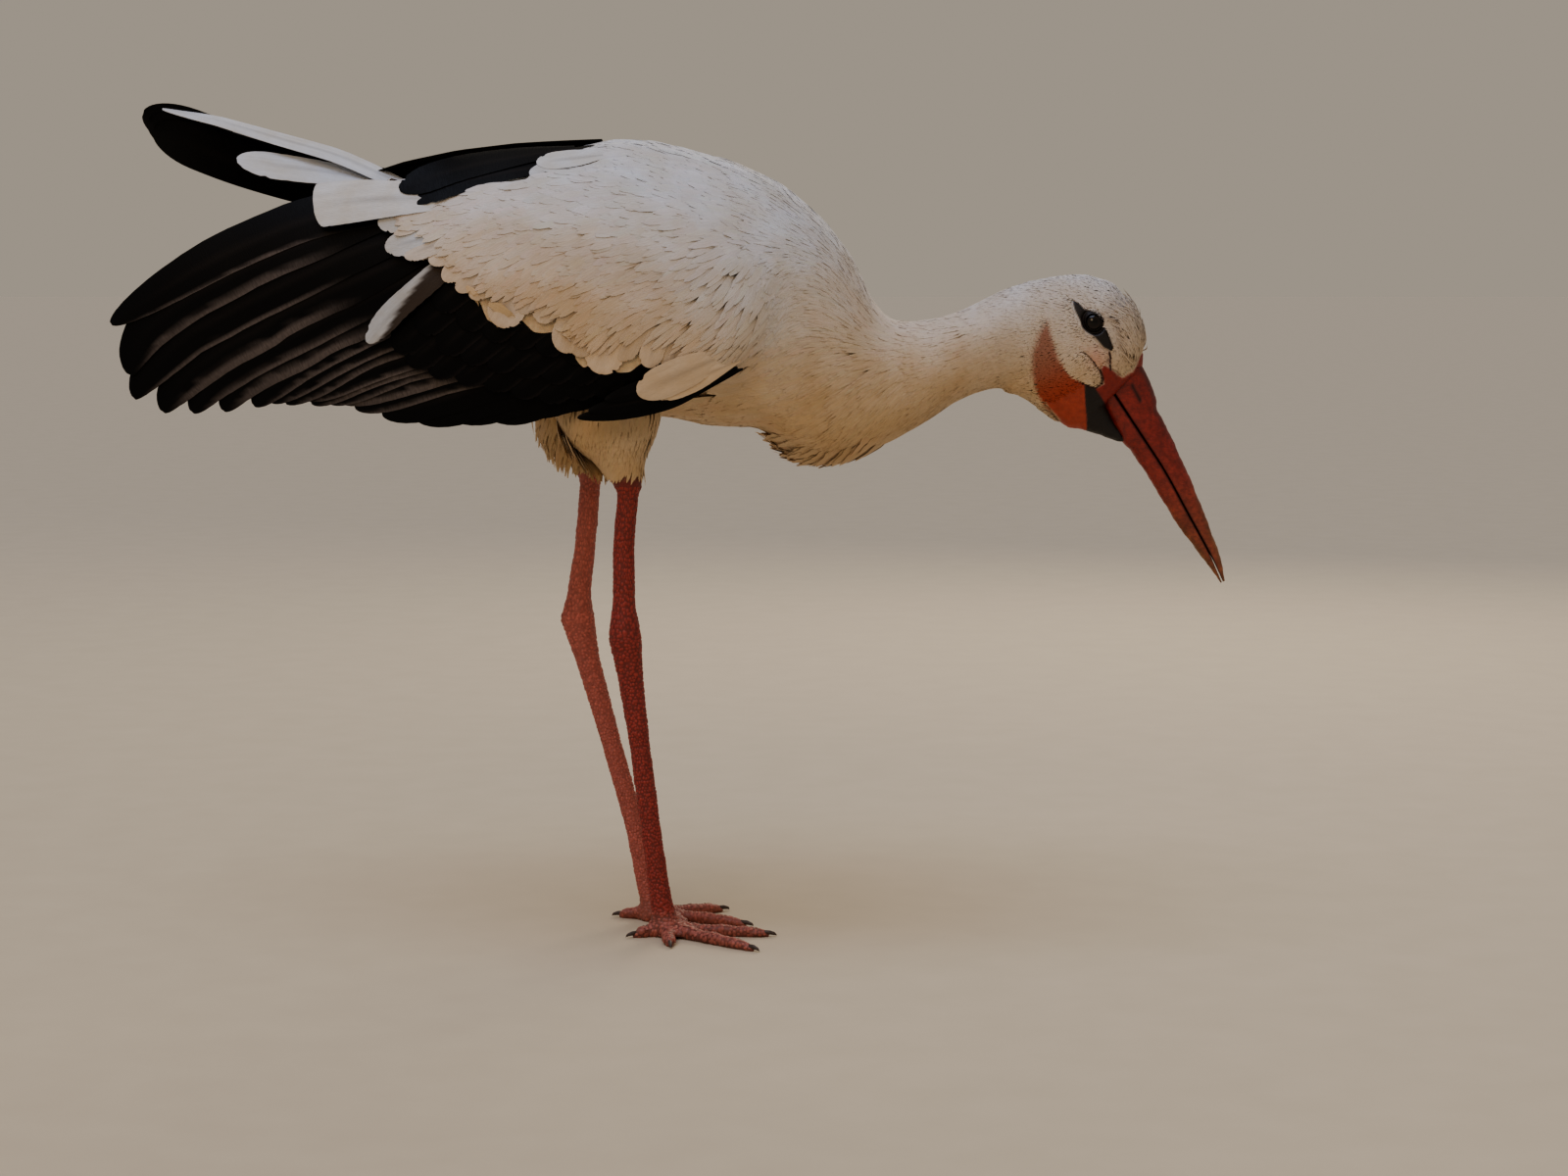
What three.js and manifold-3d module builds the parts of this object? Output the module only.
// A white stork, life size, standing still with its neck stretched forward and its bill pointing down.
// Millimetres. +Z is up, +X is the way the bird faces, +Y is its left side. The ground is z = 0.
//
// Every piece is a solid of its own, because each is a part of the body that has a name. The body is
// lofted in one length from the rump to the bill and then parted with thin cuts. The wings and the tail
// are thin curved sheets with a scalloped edge, one scallop for each feather.

import * as THREE from "three";
import { mergeVertices } from "three/addons/utils/BufferGeometryUtils.js";
import Module from "manifold-3d";

const wasm = await Module();
wasm.setup();

// ---------------------------------------------------------------- driving dimensions

const GAP = 0.3; // clearance wherever two pieces meet
const BILL_LENGTH = 157; // from the middle of its base to the tip
const BILL_BASE = { x: 353, z: 409 };
const BILL_PITCH = 61.4; // degrees below level
const EYE_RADIUS = 8.5;
const EYE = { x: 322, y: 19, z: 469.5 };
const FEATHER_THICKNESS = 2.4;
const COVERT_THICKNESS = 5;
const SHANK_RADIUS = 7.6;
const ANKLE_RADIUS = 12.5;
const TARSUS_RADIUS = 7.2;
const TOE_RADIUS = 5;
const PALM_HEIGHT = 9;

// ---------------------------------------------------------------- finishes

const finish = (color, roughness) => ({ color, roughness, metalness: 0 });
const WHITE_PLUMAGE = finish(0xd9cfc0, 0.85);
const BLACK_FEATHER = finish(0x15161c, 0.5);
const RED_HORN = finish(0x8e2c20, 0.45);
const RED_SKIN = finish(0x8a3a30, 0.6);
const DARK_HORN = finish(0x2c2320, 0.5);
const WET_EYE = finish(0x120c0a, 0.1);

// ---------------------------------------------------------------- solids

function indexed(geometry) {
  geometry.deleteAttribute("normal");
  geometry.deleteAttribute("uv");
  const merged = mergeVertices(geometry, 1e-4);
  const corners = merged.index.array;
  const kept = [];
  for (let i = 0; i < corners.length; i += 3) {
    const [a, b, c] = [corners[i], corners[i + 1], corners[i + 2]];
    if (a !== b && b !== c && c !== a) kept.push(a, b, c);
  }
  return { positions: merged.attributes.position.array, triangles: kept };
}

function manifold(positions, triangles) {
  return new wasm.Manifold(
    new wasm.Mesh({
      numProp: 3,
      vertProperties: Float32Array.from(positions),
      triVerts: Uint32Array.from(triangles),
    }),
  );
}

// A closed geometry as a solid, turned so that its faces point outwards.
function solid(geometry) {
  const { positions, triangles } = indexed(geometry);
  const made = manifold(positions, triangles);
  if (made.volume() > 0) return made;
  return manifold(positions, triangles.reverse());
}

function largestBody(shape) {
  return shape.decompose().reduce((best, body) => (body.volume() > best.volume() ? body : best));
}

function geometryOf(shape) {
  const mesh = shape.getMesh();
  const geometry = new THREE.BufferGeometry();
  geometry.setAttribute("position", new THREE.BufferAttribute(mesh.vertProperties, 3));
  geometry.setIndex(new THREE.BufferAttribute(mesh.triVerts, 1));
  geometry.computeVertexNormals();
  return geometry;
}

function moveVertices(geometry, place) {
  const position = geometry.attributes.position;
  const point = new THREE.Vector3();
  for (let i = 0; i < position.count; i++) {
    point.fromBufferAttribute(position, i);
    const moved = place(point.x, point.y, point.z);
    position.setXYZ(i, moved.x, moved.y, moved.z);
  }
  return geometry;
}

// ---------------------------------------------------------------- shape builders

const smoothThrough = (points) => new THREE.CatmullRomCurve3(points, false, "catmullrom", 0.5);

// A rounded bar through cross-sections. Each section has a centre, a height above and below it, a half
// width, the lean of its upright towards +X and, for a bar that runs sideways, the way it faces. A bar
// made with flat set has a facet underneath instead of an edge.
function loft(sections, { sides = 16, steps = 2, grow = 0, flat = false } = {}) {
  const centres = smoothThrough(sections.map((s) => new THREE.Vector3(s.x, s.y ?? 0, s.z)));
  const heights = smoothThrough(
    sections.map((s) => new THREE.Vector3(s.above, s.below ?? s.above, s.half ?? s.above)),
  );
  const turns = smoothThrough(sections.map((s) => new THREE.Vector3(s.lean ?? 0, s.facing ?? 0, 0)));
  const rows = (sections.length - 1) * steps;
  const bar = new THREE.CylinderGeometry(1, 1, 1, sides, rows, false, flat ? Math.PI / sides : 0);
  const end = centres.getPoint(1).sub(centres.getPoint(0)).normalize().multiplyScalar(grow);
  return solid(
    moveVertices(bar, (x, y, z) => {
      const t = 0.5 - y;
      const centre = centres.getPoint(t);
      const height = heights.getPoint(t);
      const turn = turns.getPoint(t);
      const lean = THREE.MathUtils.degToRad(turn.x);
      const facing = THREE.MathUtils.degToRad(turn.y);
      const up = new THREE.Vector3(
        Math.sin(lean) * Math.cos(facing),
        Math.sin(lean) * Math.sin(facing),
        Math.cos(lean),
      );
      const across = new THREE.Vector3(-Math.sin(facing), Math.cos(facing), 0);
      const reach = z > 0 ? height.x + grow : height.y + grow;
      if (t === 0) centre.sub(end);
      if (t === 1) centre.add(end);
      return centre.addScaledVector(up, z * reach).addScaledVector(across, x * (height.z + grow));
    }),
  );
}

// A thin curved sheet of feathers between an upper and a lower edge, both drawn from front to back in
// the side view. surface gives how far out it lies, and lobe is the depth of the notch between tips.
function sheet(shape, grow = 0) {
  const { upper, lower, surface, thickness, feathers, lobe = 0, ridge = 0, rows = 3, columns = 2 } = shape;
  const upperEdge = smoothThrough(upper.map(([x, z]) => new THREE.Vector3(x, 0, z)));
  const lowerEdge = smoothThrough(lower.map(([x, z]) => new THREE.Vector3(x, 0, z)));
  const plate = new THREE.BoxGeometry(1, 1, 1, feathers * columns, rows, 1);
  moveVertices(plate, (x, y, z) => {
    const u = x + 0.5;
    const v = 0.5 - y;
    const crest = Math.abs(Math.sin(Math.PI * u * feathers)) ** 0.6;
    const top = upperEdge.getPointAt(u);
    const reach = lowerEdge.getPointAt(u).sub(top);
    const length = reach.length();
    const notch = length > 0 ? Math.min(lobe * (1 - crest), length * 0.4) / length : 0;
    const point = top.addScaledVector(reach, v * (1 - notch));
    const raise = z > 0 ? ridge * crest * Math.min(1, 2 * v) : 0;
    point.y = z * (thickness + 2 * grow) + raise;
    return point;
  });
  growOutline(plate, new THREE.Vector3(grow, 0, grow));
  moveVertices(plate, (x, y, z) => {
    const out = surface(x, z);
    return new THREE.Vector3(x, out + Math.sign(out) * y, z);
  });
  return solid(plate);
}

// Moves the rim of a thin plate outwards in its own plane.
function growOutline(geometry, grow) {
  geometry.computeBoundingBox();
  const centre = geometry.boundingBox.getCenter(new THREE.Vector3());
  const size = geometry.boundingBox.getSize(new THREE.Vector3());
  const scale = new THREE.Vector3(1, 1, 1).addScaledVector(grow.clone().divide(size), 4);
  moveVertices(geometry, (x, y, z) => new THREE.Vector3(x, y, z).sub(centre).multiply(scale).add(centre));
}

// The half of space beyond a plane, as a block that is far larger than the bird.
const FAR = 4000;
function beyond(point, direction) {
  const block = new THREE.BoxGeometry(FAR, FAR, FAR);
  block.translate(0, 0, FAR / 2);
  const turn = new THREE.Quaternion().setFromUnitVectors(
    new THREE.Vector3(0, 0, 1),
    direction.clone().normalize(),
  );
  block.applyQuaternion(turn);
  block.translate(point.x, point.y, point.z);
  return solid(block);
}

// Parts one solid with thin cuts. Each cut has a point and the way the next piece lies.
function partAt(shape, cuts) {
  const parts = [];
  let rest = shape;
  for (const { point, direction } of cuts) {
    const half = direction.clone().normalize().multiplyScalar(GAP / 2);
    parts.push(largestBody(rest.subtract(beyond(point.clone().sub(half), direction))));
    rest = rest.intersect(beyond(point.clone().add(half), direction));
  }
  parts.push(largestBody(rest));
  return parts;
}

// ---------------------------------------------------------------- body, neck and head

const BODY_SECTIONS = [
  { x: -216, z: 566, above: 8, below: 10, half: 20 }, // root of the tail
  { x: -180, z: 558, above: 22, below: 44, half: 42 }, // rump
  { x: -140, z: 545, above: 42, below: 78, half: 66 },
  { x: -90, z: 522, above: 72, below: 104, half: 84 }, // loins and vent
  { x: -40, z: 504, above: 103, below: 102, half: 93 }, // top of the back
  { x: 10, z: 492, above: 109, below: 96, half: 93 },
  { x: 60, z: 478, above: 99, below: 91, half: 86, lean: 16 }, // shoulders and breast
  { x: 100, z: 455, above: 76, below: 80, half: 72, lean: 30 },
  { x: 138, z: 432, above: 55, below: 73, half: 56, lean: 20 }, // shaggy ruff
  { x: 172, z: 424, above: 47, below: 45, half: 41 },
  { x: 205, z: 436, above: 38, below: 31, half: 31, lean: -24 }, // neck
  { x: 235, z: 452, above: 31, below: 36, half: 28, lean: -25 },
  { x: 262, z: 462, above: 33, below: 45, half: 26, lean: -11 }, // nape
  { x: 290, z: 458, above: 44, below: 49, half: 27, lean: 6 },
  { x: 318, z: 448, above: 54, below: 52, half: 28, lean: 23 }, // crown
  { x: 335, z: 430, above: 41, below: 46, half: 24, lean: 38 }, // forehead
  { x: 338, z: 413, above: 33, below: 35, half: 15, lean: 46 }, // base of the bill
];

// The bare skin under the jaw, in the bill's own frame: x runs down the bill and z towards the forehead.
const THROAT_SECTIONS = [
  { x: -48, z: -29, above: 15, below: 16, half: 18 },
  { x: -20, z: -30, above: 12, below: 15, half: 15 },
  { x: 0, z: -27, above: 10, below: 13, half: 11 },
  { x: 16, z: -24, above: 5, below: 8, half: 8 },
  { x: 27, z: -20.5, above: 1.2, below: 1.5, half: 5 },
];

function inBillFrame(shape) {
  return shape.rotate([0, BILL_PITCH, 0]).translate([BILL_BASE.x, 0, BILL_BASE.z]);
}

function body(grow = 0) {
  const trunkToBill = loft(BODY_SECTIONS, { sides: 20, steps: 2, grow });
  const throat = inBillFrame(loft(THROAT_SECTIONS, { sides: 12, steps: 1, grow }));
  return trunkToBill.add(throat);
}

const BODY_CUTS = [
  { point: new THREE.Vector3(148, 0, 430), direction: new THREE.Vector3(1, 0, -0.1) },
  { point: new THREE.Vector3(212, 0, 440), direction: new THREE.Vector3(0.91, 0, 0.41) },
  { point: new THREE.Vector3(268, 0, 462), direction: new THREE.Vector3(1, 0, 0.1) },
];

// ---------------------------------------------------------------- bill and eyes

// Heights of the ridge, the mouth line and the keel above the bill's axis, down its length.
const BILL_PROFILE = [
  { x: -36, ridge: 19, mouth: -11.5, keel: -20, half: 13.5 },
  { x: -12, ridge: 19.5, mouth: -9, keel: -20.5, half: 13 },
  { x: 20, ridge: 16, mouth: -5.6, keel: -20, half: 11 },
  { x: 60, ridge: 13.2, mouth: -2.6, keel: -15, half: 8.4 },
  { x: 105, ridge: 9.2, mouth: -1.8, keel: -12, half: 6 },
  { x: 140, ridge: 4.2, mouth: -2, keel: -6.8, half: 3.6 },
  { x: BILL_LENGTH, ridge: -1.2, mouth: -3.2, keel: -4.6, half: 1.2 },
];

function billUpper(grow = 0) {
  const sections = BILL_PROFILE.map(({ x, ridge, mouth, half }) => ({
    x,
    z: mouth + GAP / 2,
    above: ridge - mouth,
    below: 0,
    half,
  }));
  return inBillFrame(loft(sections, { sides: 12, steps: 1, grow }));
}

function billLower(grow = 0) {
  const sections = BILL_PROFILE.map(({ x, mouth, keel, half }) => ({
    x: Math.min(x, BILL_LENGTH - 1.5),
    z: mouth - GAP / 2,
    above: 0,
    below: mouth - keel,
    half: half * 0.94,
  }));
  return inBillFrame(loft(sections, { sides: 12, steps: 1, grow }));
}

function eye(side, grow = 0) {
  const ball = new THREE.SphereGeometry(EYE_RADIUS + grow, 12, 8);
  ball.translate(EYE.x, side * EYE.y, EYE.z);
  return solid(ball);
}

// ---------------------------------------------------------------- wings

// How far out the folded wings lie, from the shoulder back to the tips.
const WING_SPREAD = smoothThrough(
  [
    [110, 78],
    [50, 98],
    [-20, 108],
    [-90, 109],
    [-160, 100],
    [-230, 84],
    [-310, 69],
    [-420, 56],
  ].map(([x, y]) => new THREE.Vector3(x, y, 0)),
);
const SPREAD_TABLE = WING_SPREAD.getPoints(120);

function wingSpread(x) {
  const next = SPREAD_TABLE.findIndex((p) => p.x <= x);
  if (next <= 0) return SPREAD_TABLE[next === 0 ? 0 : SPREAD_TABLE.length - 1].y;
  const [ahead, behind] = [SPREAD_TABLE[next - 1], SPREAD_TABLE[next]];
  return THREE.MathUtils.mapLinear(x, ahead.x, behind.x, ahead.y, behind.y);
}

const WING_WAIST = 490; // the height at which a folded wing bulges furthest out

// The wing's outer face wraps over the back above its waist and hangs almost straight below it.
function flank(side, inset) {
  return (x, z) => {
    const rise = (z - WING_WAIST) / 100;
    const wrap = rise > 0 ? 1 - 0.4 * rise ** 2 : 1 - 0.07 * rise ** 2;
    return side * (wingSpread(x) * wrap - inset);
  };
}

const INSET_COVERTS = COVERT_THICKNESS / 2;
const LAYER_STEP = 2.6; // slack between two layers of feathers
const INSET_SECONDARIES = COVERT_THICKNESS + LAYER_STEP + FEATHER_THICKNESS / 2;
const INSET_PRIMARIES = INSET_SECONDARIES + FEATHER_THICKNESS + 2 * LAYER_STEP;

const RIGHT = -1;
const LEFT = 1;

const RIGHT_WING = {
  coverts: {
    upper: [[78, 500], [40, 545], [-28, 577], [-85, 584], [-140, 573], [-196, 562]],
    lower: [[78, 470], [44, 426], [-8, 431], [-55, 430], [-82, 456], [-128, 466], [-163, 503], [-200, 520]],
    surface: flank(RIGHT, INSET_COVERTS),
    thickness: COVERT_THICKNESS,
    feathers: 9,
    columns: 3,
    lobe: 11,
  },
  secondaries: {
    upper: [[10, 468], [-60, 500], [-130, 520], [-176, 535]],
    lower: [[-6, 436], [-41, 419], [-95, 403], [-149, 402], [-203, 400], [-236, 416]],
    surface: flank(RIGHT, INSET_SECONDARIES),
    thickness: FEATHER_THICKNESS,
    feathers: 13,
    rows: 2,
    lobe: 6,
    ridge: 0.5,
  },
  primaries: {
    upper: [[-150, 566], [-200, 563], [-257, 558], [-308, 550], [-345, 531], [-384, 500], [-415, 469]],
    lower: [[-150, 440], [-232, 414], [-285, 415], [-331, 403], [-370, 400], [-396, 417], [-415, 469]],
    surface: flank(RIGHT, INSET_PRIMARIES),
    thickness: FEATHER_THICKNESS,
    feathers: 9,
    lobe: 5,
    ridge: 0.5,
  },
  alula: {
    upper: [[42, 434], [-10, 430], [-56, 409]],
    lower: [[42, 428], [-10, 412], [-63, 401]],
    surface: flank(RIGHT, -FEATHER_THICKNESS - LAYER_STEP / 2),
    thickness: FEATHER_THICKNESS,
    feathers: 3,
  },
};

// The left wing is folded higher, and its tip lies over the middle of the tail.
const TIP_TURN = 235; // length over which the left wing's tip swings in from the flank

function tipOfLeftWing(x) {
  const along = THREE.MathUtils.clamp((-165 - x) / TIP_TURN, 0, 1);
  return THREE.MathUtils.lerp(88, 6, THREE.MathUtils.smoothstep(along, 0, 1));
}

const LEFT_WING = {
  coverts: {
    upper: [[78, 505], [40, 550], [-28, 582], [-85, 590], [-140, 587], [-186, 580]],
    lower: [[78, 470], [60, 436], [0, 432], [-60, 445], [-110, 480], [-150, 512], [-186, 535]],
    surface: flank(LEFT, INSET_COVERTS),
    thickness: COVERT_THICKNESS,
    feathers: 9,
    lobe: 11,
  },
  secondaries: {
    upper: [[10, 468], [-60, 500], [-110, 520], [-150, 545]],
    lower: [[10, 430], [-50, 418], [-110, 422], [-165, 448], [-225, 505]],
    surface: flank(LEFT, INSET_SECONDARIES),
    thickness: FEATHER_THICKNESS,
    feathers: 13,
    rows: 2,
    lobe: 6,
    ridge: 0.5,
  },
  primaries: {
    upper: [[-175, 584], [-234, 577], [-272, 590], [-316, 609], [-361, 628], [-392, 634]],
    lower: [[-175, 540], [-240, 556], [-287, 571], [-328, 574], [-372, 590], [-402, 615]],
    surface: (x) => tipOfLeftWing(x),
    thickness: 5,
    feathers: 5,
    lobe: 2,
    rows: 3,
  },
};

// ---------------------------------------------------------------- long feathers of the back and tail

// A sheet that lies flat on the back, drawn in the plan view: from x and y to a height.
function roof({ inner, outer, height, thickness, feathers, rows = 3 }, grow = 0) {
  const innerEdge = smoothThrough(inner.map(([x, y]) => new THREE.Vector3(x, y, 0)));
  const outerEdge = smoothThrough(outer.map(([x, y]) => new THREE.Vector3(x, y, 0)));
  const plate = new THREE.BoxGeometry(1, 1, 1, rows, feathers * 2, 1);
  moveVertices(plate, (x, y, z) => {
    const point = innerEdge.getPointAt(x + 0.5).lerp(outerEdge.getPointAt(x + 0.5), y + 0.5);
    point.z = z * (thickness + 2 * grow);
    return point;
  });
  growOutline(plate, new THREE.Vector3(grow, grow, 0));
  return solid(moveVertices(plate, (x, y, z) => new THREE.Vector3(x, y, z + height(x, y))));
}

// The line of the back over the folded wings, and how steeply it falls away to each side.
const BACK_LINE = [
  [-50, 606],
  [-115, 602],
  [-160, 597],
  [-200, 589],
  [-242, 576],
];
const BACK_FALL = 27; // drop from the inner edge of the long inner feathers to their outer edge
const BACK_WIDTH = 58;

function heightAlong(points, x) {
  const next = points.findIndex(([at]) => at < x);
  const i = next < 0 ? points.length - 1 : Math.max(next, 1);
  const [[x0, z0], [x1, z1]] = [points[i - 1], points[i]];
  return THREE.MathUtils.mapLinear(x, x0, x1, z0, z1);
}

function backHeight(drop, slope) {
  return (x, y) => {
    const fall = BACK_FALL * (Math.abs(y) / BACK_WIDTH) ** 1.6;
    return heightAlong(BACK_LINE, x) - drop - slope * Math.max(0, -50 - x) - fall;
  };
}

const TERTIALS_RIGHT = {
  inner: [[-54, -6], [-120, -7], [-196, -14]],
  outer: [[-54, -56], [-120, -60], [-190, -50]],
  height: backHeight(4, 0.09),
  thickness: 3,
  feathers: 3,
};

const TERTIALS_LEFT = {
  inner: [[-54, 4], [-140, 5], [-238, 14]],
  outer: [[-54, 58], [-140, 62], [-225, 46]],
  height: backHeight(0, 0),
  thickness: 3,
  feathers: 3,
};

// The tail is rolled a little, right side down, and cocked up towards its tip.
const TAIL_LINE = [
  [-180, 565],
  [-300, 597],
  [-342, 609],
  [-395, 620],
];
const TAIL_ROLL = 0.3;

const tailHeight = (x, y) => heightAlong(TAIL_LINE, x) + TAIL_ROLL * y;

const TAIL_RIGHT = {
  inner: [[-184, -4], [-270, -5], [-314, -8]],
  outer: [[-184, -24], [-265, -44], [-320, -52]],
  height: tailHeight,
  thickness: FEATHER_THICKNESS,
  feathers: 4,
};

const TAIL_LEFT = {
  inner: [[-184, 6], [-290, 16], [-392, 22]],
  outer: [[-184, 26], [-290, 46], [-384, 52]],
  height: tailHeight,
  thickness: FEATHER_THICKNESS,
  feathers: 4,
};

const TAIL_COVERTS = {
  upper: [[-180, 574], [-220, 575], [-257, 571]],
  lower: [[-180, 545], [-222, 547], [-260, 541]],
  surface: flank(RIGHT, -1),
  thickness: FEATHER_THICKNESS,
  feathers: 2,
  rows: 2,
};

// ---------------------------------------------------------------- legs and feet

const UPRIGHT = 90; // a bar that runs down has its sections lying level

const legSection = (x, y, z, fore, side = fore) => ({ x, y, z, above: fore, half: side, lean: UPRIGHT });

const RIGHT_LEG = {
  thigh: [
    { x: -46, y: -44, z: 428, above: 42, below: 40, half: 36, lean: UPRIGHT },
    { x: -43, y: -45, z: 402, above: 40, below: 42, half: 33, lean: UPRIGHT },
    { x: -38, y: -45, z: 378, above: 25, below: 31, half: 24, lean: UPRIGHT },
    { x: -32, y: -45, z: 360, above: 14, below: 17, half: 14, lean: UPRIGHT },
    { x: -29, y: -45, z: 346.2, above: 9.5, below: 10, half: 9.5, lean: UPRIGHT },
  ],
  shin: [
    legSection(-29, -45, 345.8, SHANK_RADIUS),
    legSection(-33, -43, 300, SHANK_RADIUS),
    legSection(-33, -42, 256, SHANK_RADIUS + 0.6),
    legSection(-32.5, -41, 232, ANKLE_RADIUS, ANKLE_RADIUS - 1.5),
    legSection(-29, -39, 204, TARSUS_RADIUS + 2),
    legSection(-22, -37, 150, TARSUS_RADIUS),
    legSection(-14, -34, 84, TARSUS_RADIUS),
    legSection(-8, -32, 38, TARSUS_RADIUS + 0.3),
    legSection(-5, -31, 19.5, TARSUS_RADIUS + 1.4),
  ],
  ankleHeight: 232,
  palm: { x: -2.5, y: -30 },
  toes: {
    hind: { facing: 205, length: 36 },
    inner: { facing: -6, length: 88 },
    middle: { facing: -41, length: 98 },
    outer: { facing: -84, length: 54 },
  },
};

const LEFT_LEG = {
  thigh: [
    { x: -68, y: 44, z: 428, above: 40, below: 40, half: 36, lean: UPRIGHT },
    { x: -67, y: 44, z: 402, above: 36, below: 40, half: 33, lean: UPRIGHT },
    { x: -65, y: 43, z: 378, above: 22, below: 30, half: 24, lean: UPRIGHT },
    { x: -63, y: 42, z: 361, above: 13, below: 15, half: 14, lean: UPRIGHT },
    { x: -62.5, y: 42, z: 348.2, above: 9.5, below: 10, half: 9.5, lean: UPRIGHT },
  ],
  shin: [
    legSection(-62.5, 42, 347.8, SHANK_RADIUS),
    legSection(-67.5, 40, 291, SHANK_RADIUS),
    legSection(-72.5, 39, 257, SHANK_RADIUS + 1.4),
    legSection(-74, 38, 236, ANKLE_RADIUS + 1, ANKLE_RADIUS - 1.5),
    legSection(-66, 36, 206, TARSUS_RADIUS + 1.8),
    legSection(-47.4, 33, 140, TARSUS_RADIUS),
    legSection(-28, 29, 71, TARSUS_RADIUS),
    legSection(-19.5, 27, 27, TARSUS_RADIUS + 0.6),
    legSection(-16.8, 26.5, 19.5, TARSUS_RADIUS + 1.4),
  ],
  ankleHeight: 236,
  palm: { x: -13, y: 26 },
  toes: {
    hind: { facing: 168, length: 38 },
    inner: { facing: -52, length: 52 },
    middle: { facing: -22, length: 86 },
    outer: { facing: 28, length: 68 },
  },
};

const onTheGround = (shape) => shape.intersect(beyond(new THREE.Vector3(), new THREE.Vector3(0, 0, 1)));

// The short joint under the shin, from which the toes spread. Its sole is a flat on the ground.
function palm({ palm: at, shin }, grow = 0) {
  const neck = shin[shin.length - 1];
  const sections = [
    legSection(neck.x, neck.y, neck.z - GAP, neck.above),
    legSection((neck.x + at.x) / 2, (neck.y + at.y) / 2, 14, 9.8, 10),
    legSection(at.x, at.y, PALM_HEIGHT, 12, 12),
    legSection(at.x, at.y, 4, 13.5, 13.5),
    legSection(at.x, at.y, -1, 12, 12),
  ];
  return onTheGround(loft(sections, { sides: 12, steps: 1, grow }));
}

// Radii of a toe at its knuckles and between them, as parts of its length.
const TOE_SIDES = 8;
const TOE_PROFILE = [
  [0.08, 1.15],
  [0.3, 1.04],
  [0.42, 0.9],
  [0.55, 1.02],
  [0.68, 0.84],
  [0.84, 0.92],
  [0.96, 0.7],
  [1, 0.4],
];
const TOE_FLATTENING = 0.82; // the height of a toe's middle above the ground, as a part of its radius
const CLAW_LENGTH = 13;
const CLAW_PROFILE = [
  { along: -3, radius: 2.3, z: 4.4 },
  { along: 3, radius: 2.3, z: 4.3 },
  { along: 8, radius: 1.5, z: 3.2 },
  { along: CLAW_LENGTH - 3, radius: 0.5, z: 1.2 },
];

function outAlong({ x, y }, facing, distance) {
  const turn = THREE.MathUtils.degToRad(facing);
  return { x: x + Math.cos(turn) * distance, y: y + Math.sin(turn) * distance };
}

function toe({ palm: at, toes }, name, grow = 0) {
  const { facing, length } = toes[name];
  const fleshy = length - CLAW_LENGTH + 3;
  const sections = TOE_PROFILE.map(([part, thick]) => {
    const radius = TOE_RADIUS * thick;
    const z = radius * TOE_FLATTENING;
    const below = z / Math.cos(Math.PI / TOE_SIDES);
    return { ...outAlong(at, facing, part * fleshy), z, above: radius, below, half: radius * 1.1, facing };
  });
  return loft(sections, { sides: TOE_SIDES, steps: 1, grow, flat: true });
}

function claw({ palm: at, toes }, name, grow = 0) {
  const { facing, length } = toes[name];
  const root = length - CLAW_LENGTH + 3;
  const sections = CLAW_PROFILE.map(({ along, radius, z }) => {
    return { ...outAlong(at, facing, root + along), z, above: radius, half: radius * 0.9, facing };
  });
  return loft(sections, { sides: 6, steps: 1, grow });
}

function shinParts({ shin, ankleHeight }) {
  const cut = { point: new THREE.Vector3(0, 0, ankleHeight), direction: new THREE.Vector3(0, 0, -1) };
  return partAt(loft(shin, { sides: 12, steps: 1 }), [cut]);
}

// ---------------------------------------------------------------- the whole bird

// Each entry makes its solid, a little grown where asked. An earlier entry keeps its shape, and a later
// one gives way to it. divide parts a solid into several named ones once it has given way.
const entry = (name, material, make, divide) => ({ name, material, make, divide });

function feathersOf(wing, side, names) {
  return names.map((name) =>
    entry(`wing_${side}_${name}`, name === "coverts" ? WHITE_PLUMAGE : BLACK_FEATHER, (grow) =>
      sheet(wing[name], grow),
    ),
  );
}

function piecesOfLeg(leg, side) {
  const names = Object.keys(leg.toes);
  const thin = names.map((name) =>
    entry(`leg_${side}_claw_${name}`, DARK_HORN, (grow) => claw(leg, name, grow)),
  );
  const flesh = names.map((name) =>
    entry(`leg_${side}_toe_${name}`, RED_SKIN, (grow) => toe(leg, name, grow)),
  );
  return [
    ...thin,
    entry(`leg_${side}_foot`, RED_SKIN, (grow) => palm(leg, grow)),
    ...flesh,
    entry(`leg_${side}`, RED_SKIN, (grow) => loft(leg.shin, { sides: 12, steps: 1, grow }), {
      names: [`leg_${side}_shank`, `leg_${side}_tarsus`],
      parts: () => shinParts(leg),
    }),
  ];
}

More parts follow.
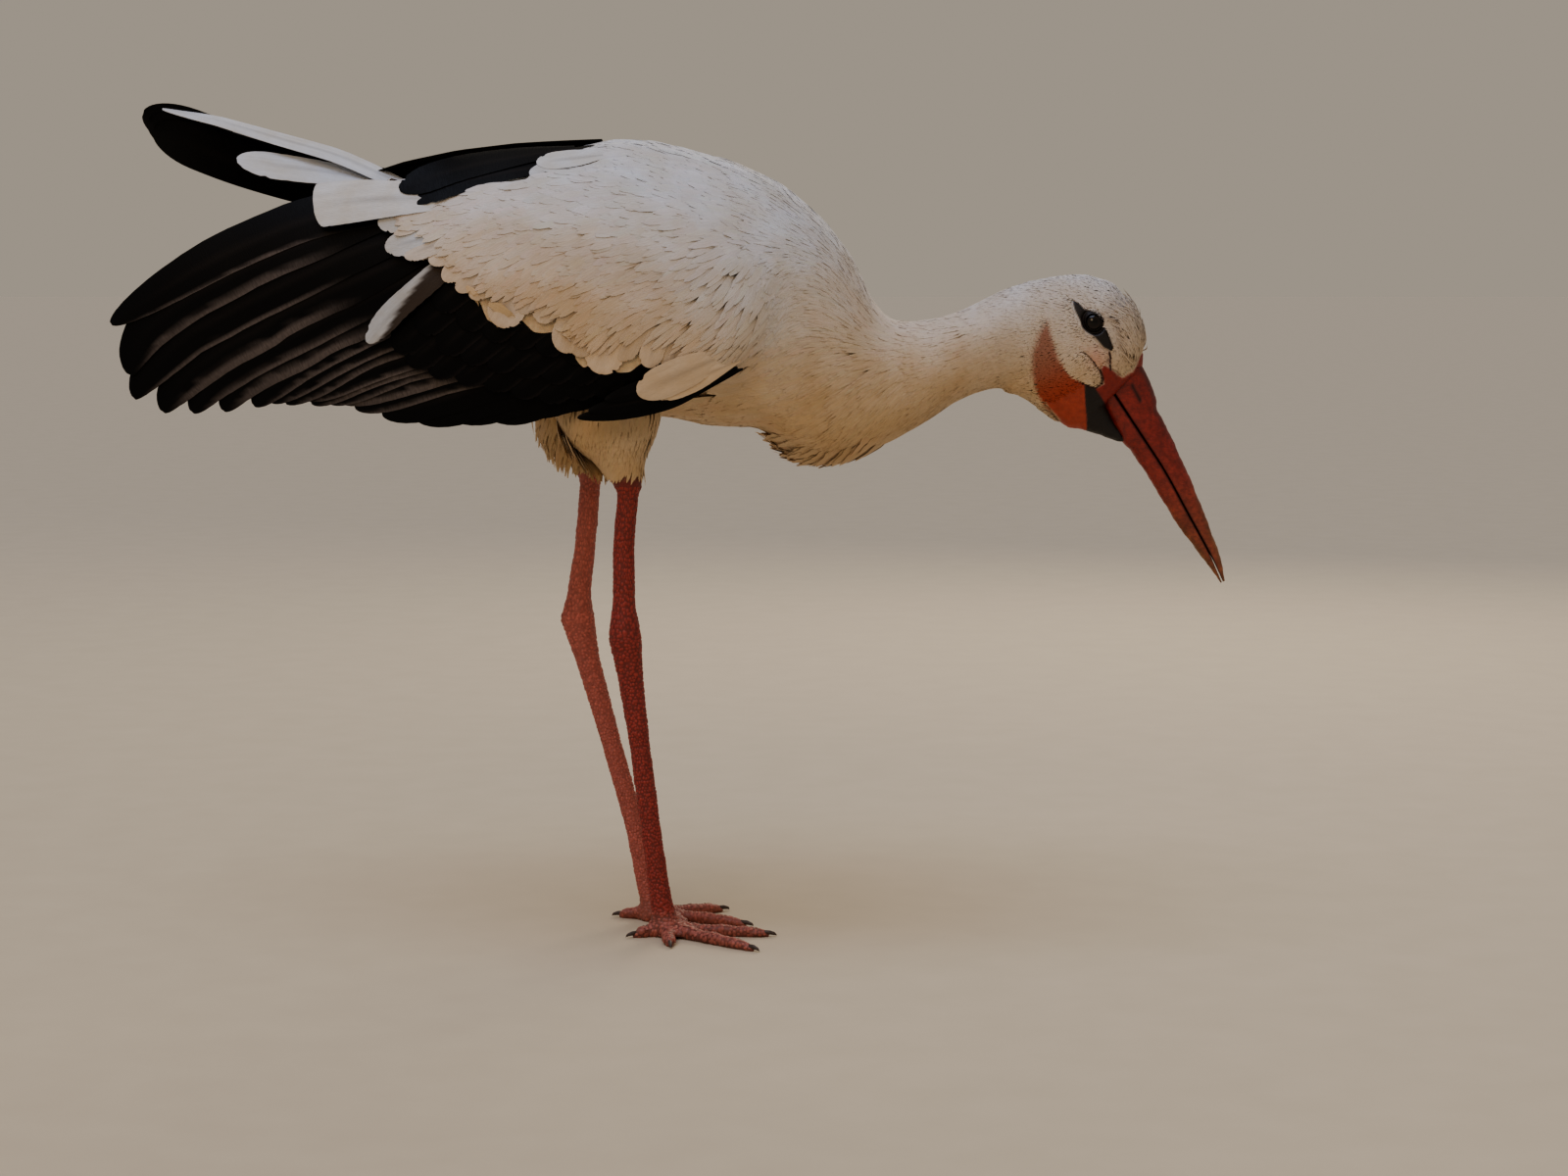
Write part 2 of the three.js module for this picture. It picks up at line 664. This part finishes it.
const PIECES = [
  entry("bill_upper", RED_HORN, billUpper),
  entry("bill_lower", RED_HORN, billLower),
  entry("eye_right", WET_EYE, (grow) => eye(RIGHT, grow)),
  entry("eye_left", WET_EYE, (grow) => eye(LEFT, grow)),
  ...feathersOf(RIGHT_WING, "right", ["alula", "coverts"]),
  ...feathersOf(LEFT_WING, "left", ["coverts"]),
  entry("wing_right_tertials", BLACK_FEATHER, (grow) => roof(TERTIALS_RIGHT, grow)),
  entry("wing_left_tertials", BLACK_FEATHER, (grow) => roof(TERTIALS_LEFT, grow)),
  entry("tail_coverts", WHITE_PLUMAGE, (grow) => sheet(TAIL_COVERTS, grow)),
  entry("tail_right", WHITE_PLUMAGE, (grow) => roof(TAIL_RIGHT, grow)),
  entry("tail_left", WHITE_PLUMAGE, (grow) => roof(TAIL_LEFT, grow)),
  ...feathersOf(RIGHT_WING, "right", ["secondaries", "primaries"]),
  ...feathersOf(LEFT_WING, "left", ["secondaries", "primaries"]),
  ...piecesOfLeg(RIGHT_LEG, "right"),
  ...piecesOfLeg(LEFT_LEG, "left"),
  entry("body", WHITE_PLUMAGE, body, {
    names: ["trunk", "neck_lower", "neck_upper", "head"],
    parts: (shape) => partAt(shape, BODY_CUTS),
  }),
  entry("leg_right_thigh", WHITE_PLUMAGE, (grow) => loft(RIGHT_LEG.thigh, { sides: 14, steps: 1, grow })),
  entry("leg_left_thigh", WHITE_PLUMAGE, (grow) => loft(LEFT_LEG.thigh, { sides: 14, steps: 1, grow })),
];

function touches(a, b) {
  const [boxA, boxB] = [a.boundingBox(), b.boundingBox()];
  return [0, 1, 2].every((i) => boxA.min[i] < boxB.max[i] && boxB.min[i] < boxA.max[i]);
}

function meshOf(name, material, shape) {
  const mesh = new THREE.Mesh(geometryOf(shape), new THREE.MeshStandardMaterial(material));
  mesh.name = name;
  return mesh;
}

const bird = new THREE.Group();
const placed = [];
for (const { name, material, make, divide } of PIECES) {
  let shape = make(0);
  for (const earlier of placed) {
    if (touches(shape, earlier)) shape = shape.subtract(earlier);
  }
  shape = largestBody(shape);
  const parts = divide ? divide.parts(shape) : [shape];
  const names = divide ? divide.names : [name];
  parts.forEach((part, i) => bird.add(meshOf(names[i], material, part)));
  placed.push(make(GAP));
}

// The bird stands with the middle of its outline over the origin.
const box = new THREE.Box3().setFromObject(bird);
const middle = box.getCenter(new THREE.Vector3());
bird.position.set(-middle.x, -middle.y, -box.min.z);

export default bird;
